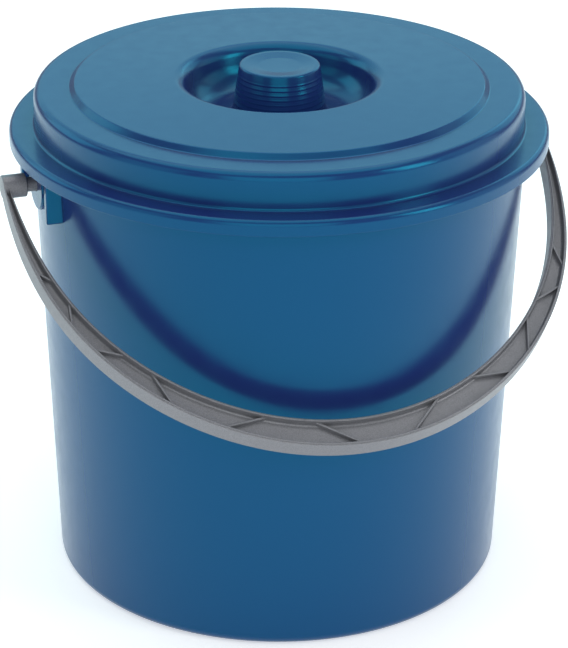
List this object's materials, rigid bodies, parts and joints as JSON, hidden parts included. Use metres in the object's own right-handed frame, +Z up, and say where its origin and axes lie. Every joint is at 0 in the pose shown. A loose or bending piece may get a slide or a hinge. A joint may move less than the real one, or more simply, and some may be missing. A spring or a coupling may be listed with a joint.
{
  "type": "wash bucket",
  "caption": "Round plastic wash bucket with a press-on lid, a finger dish and knob in the lid, and a swinging bail handle.",
  "frame": {"origin": "centre of the base, on the plane that the tub stands on", "axes": "+Z up; the handle turns about an axis along X and is drawn lowered at the front, which is -Y"},
  "size_m": [0.2942, 0.2918, 0.2764],
  "materials": {
    "blue_polypropylene": "glossy moulded polypropylene, coloured through",
    "silver_grey_plastic": "silver-grey moulded plastic, satin"
  },
  "bodies": {
    "tub": {"tub": "blue_polypropylene"},
    "lid": {"lid": "blue_polypropylene"},
    "handle": {"handle": "silver_grey_plastic"}
  },
  "joints": [
    {"name": "lid_lift", "type": "slide", "parent": "tub", "child": "lid", "axis": [0, 0, 1], "range_m": [0, 0.2]},
    {"name": "handle_swing", "type": "hinge", "parent": "tub", "child": "handle", "pos_m": [0, 0, 0.226], "axis": [-1, 0, 0], "range_deg": [-4.5, 251.5]}
  ]
}
